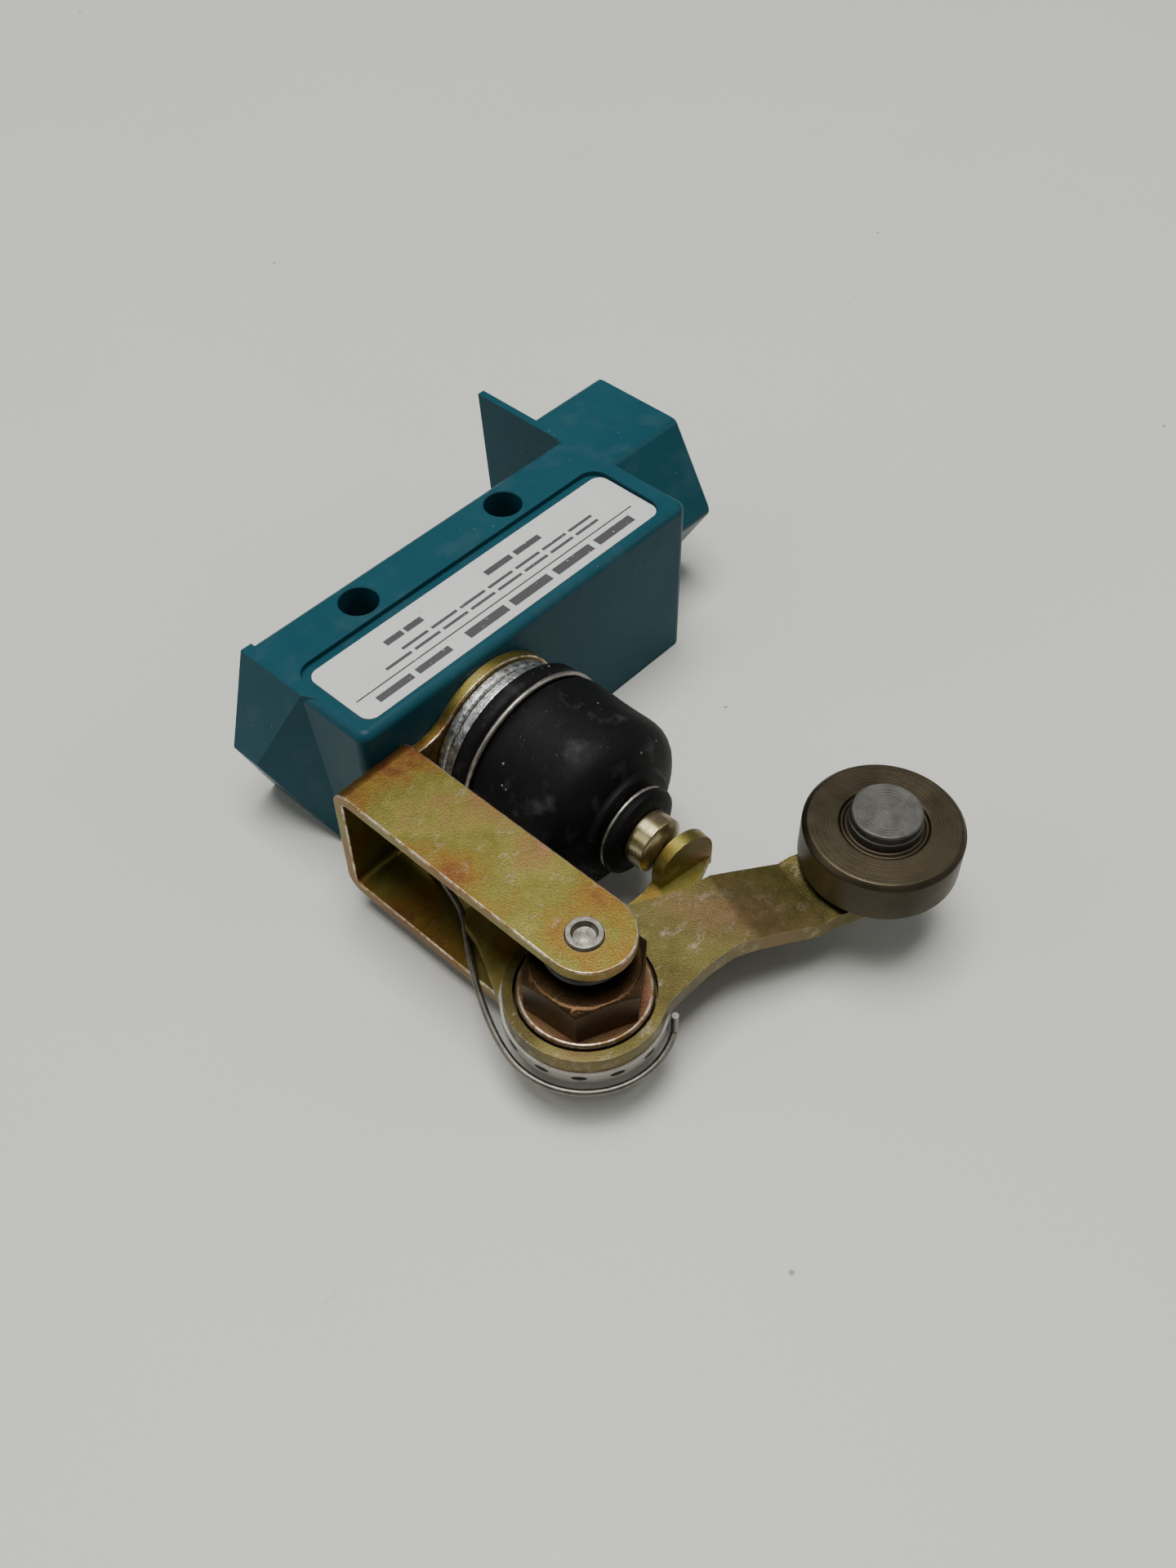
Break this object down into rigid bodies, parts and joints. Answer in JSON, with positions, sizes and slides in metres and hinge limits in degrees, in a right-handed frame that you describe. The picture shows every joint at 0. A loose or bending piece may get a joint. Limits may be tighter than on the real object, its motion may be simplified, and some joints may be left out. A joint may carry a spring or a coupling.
{
  "type": "limit switch",
  "caption": "Die-cast snap-action limit switch with a bracket-mounted roller lever that presses a booted plunger; conduit hub on one end.",
  "frame": {"origin": "midway between the two mounting holes, on the back face", "axes": "+Z out of the label face, +Y towards the plunger and lever, conduit hub at -X"},
  "size_m": [0.0821, 0.0954, 0.025],
  "materials": {
    "teal_paint": "glossy enamel on a die casting",
    "yellow_zinc": "yellow chromate over zinc, worn",
    "silver_zinc": "dull zinc",
    "bright_steel": "turned steel",
    "dark_steel": "blackened",
    "sintered_steel": "sintered, oiled and worn",
    "brass": "turned",
    "boot_rubber": "moulded, dusty",
    "seal_rubber": "cut sheet",
    "label_white": "printed plate, blank",
    "black_plastic": "moulded",
    "phenolic": "moulded phenolic",
    "contact_silver": "contact silver"
  },
  "bodies": {
    "casting": {"housing": "teal_paint", "label_plate": "label_white", "rear_cover": "teal_paint", "rear_gasket": "seal_rubber", "cover_screws": "silver_zinc", "mounting_bracket": "yellow_zinc", "pivot_rivet": "silver_zinc", "plunger_bushing": "brass", "lock_washer": "silver_zinc", "clamp_nut": "silver_zinc", "boot": "boot_rubber", "boot_clamp_ring": "bright_steel", "return_spring": "bright_steel", "overtravel_spring": "bright_steel", "torsion_spring": "dark_steel", "switch_case": "phenolic", "switch_case_cover": "phenolic", "closed_terminal": "brass", "common_terminal": "brass", "open_terminal": "brass", "fixed_contacts": "contact_silver", "terminal_screws": "brass", "switch_screws": "silver_zinc", "ground_screw": "silver_zinc"},
    "lever": {"lever_hub": "dark_steel", "lower_washer": "black_plastic", "upper_washer": "black_plastic", "inner_lever": "yellow_zinc", "roller_arm": "yellow_zinc", "clamp_disc": "yellow_zinc", "hex_nut": "yellow_zinc", "roller_pin": "silver_zinc", "roller_washer": "silver_zinc"},
    "roller": {"roller": "sintered_steel"},
    "plunger": {"plunger": "brass", "boot_neck_ring": "bright_steel"},
    "actuator": {"actuator_rod": "brass"},
    "pin": {"switch_pin": "black_plastic"},
    "blade": {"moving_blade": "brass", "blade_contact": "contact_silver"}
  },
  "joints": [
    {"name": "lever_swing", "type": "hinge", "parent": "casting", "child": "lever", "pos_m": [0.0288, 0.0532, 0.0125], "axis": [0, 0, 1], "range_deg": [0, 14], "stiffness_Nm_per_rad": 0.15, "springref_deg": -8.59, "deforming": ["torsion_spring"]},
    {"name": "plunger_slide", "type": "slide", "parent": "casting", "child": "plunger", "axis": [0, -1, 0], "range_m": [0, 0.00486], "deforming": ["boot", "return_spring"]},
    {"name": "actuator_slide", "type": "slide", "parent": "plunger", "child": "actuator", "axis": [0, 1, 0], "range_m": [0, 0.00396], "deforming": ["overtravel_spring"]},
    {"name": "pin_slide", "type": "slide", "parent": "casting", "child": "pin", "axis": [0, -1, 0], "range_m": [0, 0.00092]},
    {"name": "blade_rock", "type": "hinge", "parent": "casting", "child": "blade", "pos_m": [-0.001, 0.01015, 0.0139], "axis": [0, 0, -1], "range_deg": [0, 5.8]},
    {"name": "roller_spin", "type": "hinge", "parent": "lever", "child": "roller", "pos_m": [-0.0081, 0.06612, 0.0141], "axis": [0, 0, 1], "continuous": true}
  ],
  "couplings": [
    {"joint": "plunger_slide", "follows": "lever_swing", "m_per_rad": 0.019808},
    {"joint": "actuator_slide", "follows": "lever_swing", "m_per_rad": 0.016125},
    {"joint": "pin_slide", "follows": "lever_swing", "m_per_rad": 0.003683},
    {"joint": "blade_rock", "follows": "lever_swing", "ratio": 0.4086}
  ]
}
